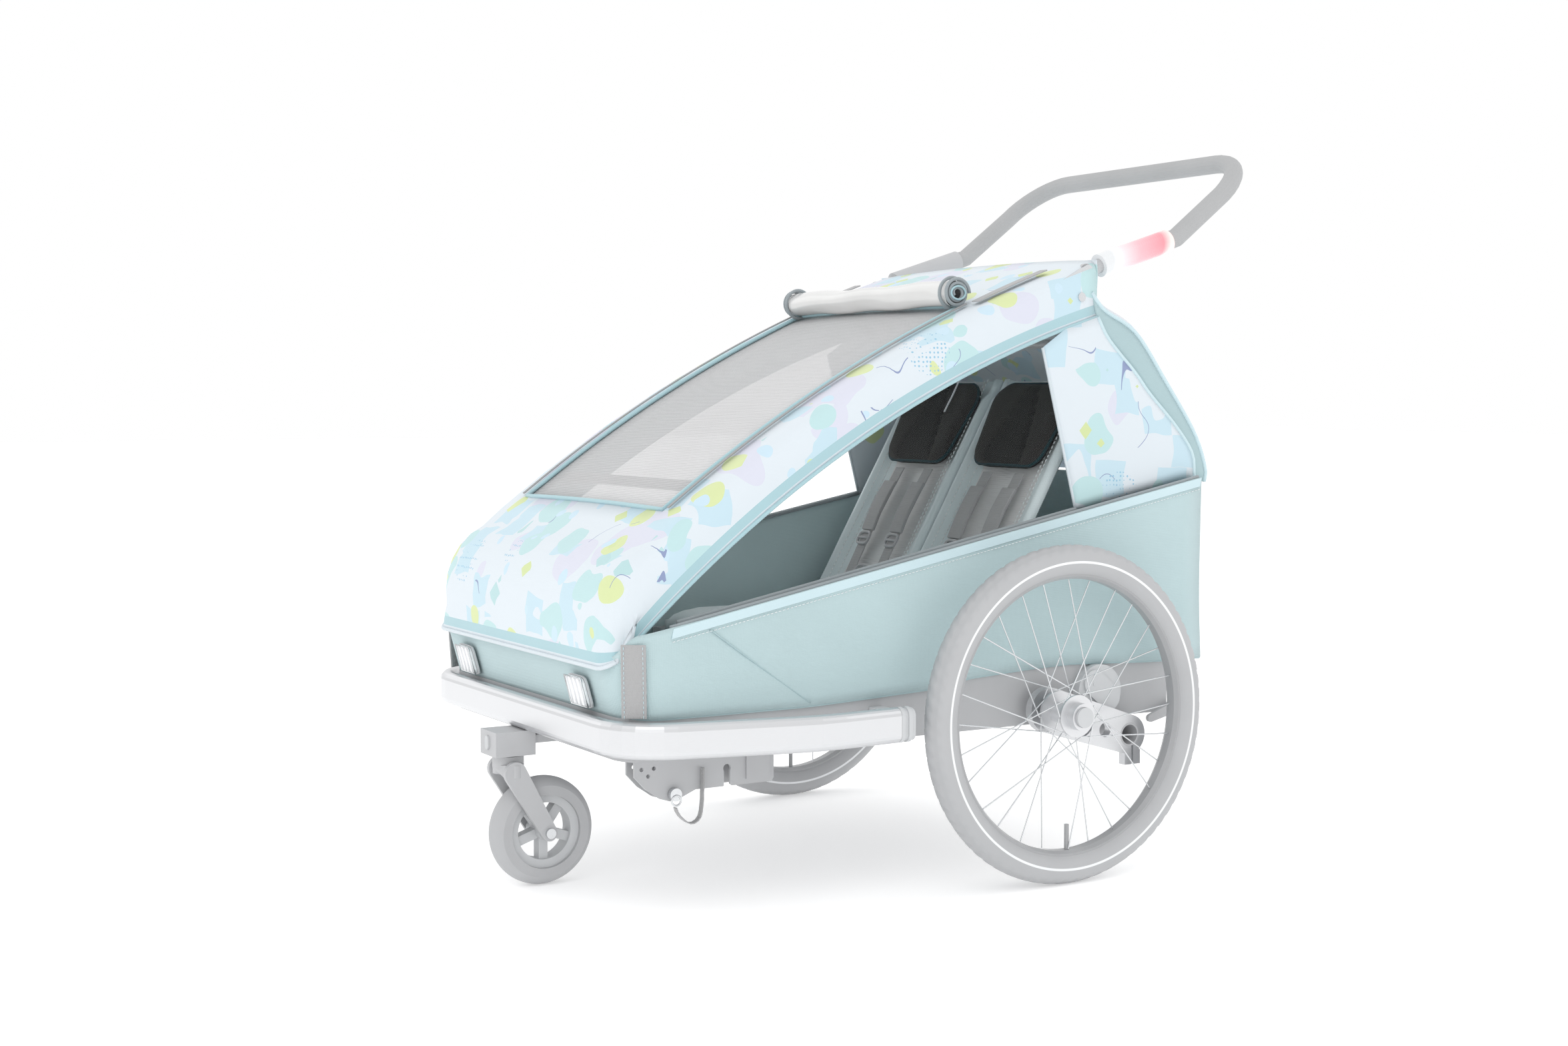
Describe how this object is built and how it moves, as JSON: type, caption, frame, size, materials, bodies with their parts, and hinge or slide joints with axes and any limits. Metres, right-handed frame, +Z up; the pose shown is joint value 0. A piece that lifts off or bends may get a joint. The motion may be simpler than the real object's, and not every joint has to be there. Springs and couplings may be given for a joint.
{
  "type": "child bicycle trailer",
  "caption": "Two-seat child trailer with spoked wheels, caster, folding hood frame, tilting push bar, sprung axle arms, padded seats and a hitch bracket.",
  "frame": {"origin": "ground under the middle of the bounding box", "axes": "+X the trailer's left, +Y the rear, +Z up"},
  "size_m": [0.8766, 1.2343, 1.1151],
  "materials": {
    "frame_black": "satin",
    "steel": "satin",
    "alloy": "satin",
    "plastic_black": "matte",
    "plastic_grey": "matte",
    "reflector": "gloss",
    "lamp": "gloss",
    "fabric_teal": "matte",
    "fabric_pale": "matte",
    "fabric_seat": "matte",
    "fabric_black": "matte",
    "window": "gloss",
    "mesh": "matte",
    "cover": "matte",
    "webbing": "matte",
    "cord": "matte",
    "tyre": "matte",
    "foam": "matte",
    "elastomer": "matte",
    "wheel_rim": "satin"
  },
  "bodies": {
    "base": {"base_frame": "frame_black", "seat_frame": "frame_black", "base_bolts": "steel", "floor_pan": "plastic_black", "tub_front": "fabric_teal", "tub_left": "fabric_teal", "tub_right": "fabric_teal", "tub_rear": "fabric_teal", "bumper": "alloy", "bumper_sockets": "plastic_grey", "front_reflectors": "reflector", "corner_straps": "webbing", "hitch_bracket": "frame_black", "hitch_strap": "webbing", "caster_bracket": "plastic_black", "suspension_tube": "frame_black", "elastomer_left": "elastomer", "elastomer_right": "elastomer", "side_windows": "window", "rear_quarters": "fabric_pale", "back_panel": "fabric_pale", "seat_cushions": "fabric_seat", "seat_backs": "fabric_seat", "harnesses": "webbing", "tie_cord": "cord"},
    "front_frame": {"front_hoop": "frame_black", "hinge_lugs": "steel", "canopy": "fabric_pale", "front_screen": "mesh", "rain_cover": "cover", "cover_caps": "webbing", "canopy_snaps": "steel"},
    "upper_legs": {"upper_legs": "frame_black", "leg_bolts": "steel"},
    "lower_legs": {"lower_legs": "frame_black"},
    "push_bar": {"push_bar": "frame_black", "bar_foam": "foam", "bar_lamp": "lamp", "bar_sleeve": "plastic_grey"},
    "arm_left": {"swing_arm_left": "alloy"},
    "arm_right": {"swing_arm_right": "alloy"},
    "wheel_left": {"left_hub": "alloy", "left_spokes": "steel", "left_rim": "wheel_rim", "left_tyre": "tyre"},
    "wheel_right": {"right_hub": "alloy", "right_spokes": "steel", "right_rim": "wheel_rim", "right_tyre": "tyre"},
    "hub_button_left": {"left_hub_button": "plastic_grey"},
    "hub_button_right": {"right_hub_button": "plastic_grey"},
    "caster_swivel": {"caster_fork": "plastic_black", "caster_axle": "steel"},
    "caster_wheel": {"caster_rim": "plastic_grey", "caster_tyre": "tyre"},
    "caster_button": {"caster_button": "plastic_grey"},
    "hitch_pin": {"hitch_pin": "steel"},
    "brake": {"brake_lever": "plastic_black"},
    "headrest_left": {"headrest_left": "fabric_black"},
    "headrest_right": {"headrest_right": "fabric_black"}
  },
  "joints": [
    {"name": "frame_fold", "type": "hinge", "parent": "base", "child": "front_frame", "pos_m": [0, -0.5122, 0.408], "axis": [1, 0, 0], "range_deg": [-30, 0], "deforming": ["tub_rear", "side_windows", "rear_quarters", "back_panel", "seat_backs", "harnesses", "tie_cord", "headrest_left", "headrest_right"]},
    {"name": "rear_legs_fold", "type": "hinge", "parent": "base", "child": "lower_legs", "pos_m": [0, 0.3368, 0.3], "axis": [1, 0, 0], "range_deg": [-82, 0]},
    {"name": "upper_legs_fold", "type": "hinge", "parent": "front_frame", "child": "upper_legs", "pos_m": [0, 0.2068, 0.886], "axis": [1, 0, 0], "range_deg": [0, 50]},
    {"name": "push_bar_tilt", "type": "hinge", "parent": "front_frame", "child": "push_bar", "pos_m": [0, 0.2498, 0.908], "axis": [1, 0, 0], "range_deg": [-15, 80]},
    {"name": "suspension_left", "type": "hinge", "parent": "base", "child": "arm_left", "pos_m": [0, 0.2888, 0.201], "axis": [1, 0, 0], "range_deg": [-8, 0], "stiffness_Nm_per_rad": 474, "springref_deg": 2.86},
    {"name": "suspension_right", "type": "hinge", "parent": "base", "child": "arm_right", "pos_m": [0, 0.2888, 0.201], "axis": [1, 0, 0], "range_deg": [-8, 0], "stiffness_Nm_per_rad": 474, "springref_deg": 2.86},
    {"name": "wheel_left_spin", "type": "hinge", "parent": "arm_left", "child": "wheel_left", "pos_m": [0, 0.1348, 0.25], "axis": [1, 0, 0], "continuous": true},
    {"name": "wheel_right_spin", "type": "hinge", "parent": "arm_right", "child": "wheel_right", "pos_m": [0, 0.1348, 0.25], "axis": [1, 0, 0], "continuous": true},
    {"name": "hub_release_left", "type": "slide", "parent": "wheel_left", "child": "hub_button_left", "axis": [-1, 0, 0], "range_m": [0, 0.003], "stiffness_N_per_m": 600, "springref_m": -0.002},
    {"name": "hub_release_right", "type": "slide", "parent": "wheel_right", "child": "hub_button_right", "axis": [1, 0, 0], "range_m": [0, 0.003], "stiffness_N_per_m": 600, "springref_m": -0.002},
    {"name": "caster_swivel", "type": "hinge", "parent": "base", "child": "caster_swivel", "pos_m": [0, -0.5832, 0.2], "axis": [0, 0, 1], "continuous": true},
    {"name": "caster_spin", "type": "hinge", "parent": "caster_swivel", "child": "caster_wheel", "pos_m": [0, -0.5322, 0.08], "axis": [1, 0, 0], "continuous": true},
    {"name": "caster_release", "type": "slide", "parent": "base", "child": "caster_button", "axis": [0, 1, 0], "range_m": [0, 0.003], "stiffness_N_per_m": 600, "springref_m": -0.002},
    {"name": "hitch_pin_pull", "type": "slide", "parent": "base", "child": "hitch_pin", "axis": [1, 0, 0], "range_m": [0, 0.02]},
    {"name": "brake_pedal", "type": "hinge", "parent": "base", "child": "brake", "pos_m": [0, 0.3991, 0.232], "axis": [1, 0, 0], "range_deg": [-20, 0]},
    {"name": "headrest_left_height", "type": "slide", "parent": "base", "child": "headrest_left", "axis": [0, 0.5, 0.866], "range_m": [0, 0.06]},
    {"name": "headrest_right_height", "type": "slide", "parent": "base", "child": "headrest_right", "axis": [0, 0.5, 0.866], "range_m": [0, 0.06]}
  ],
  "couplings": [
    {"joint": "rear_legs_fold", "follows": "frame_fold", "ratio": 2.7022},
    {"joint": "upper_legs_fold", "follows": "frame_fold", "ratio": -1.6456}
  ]
}
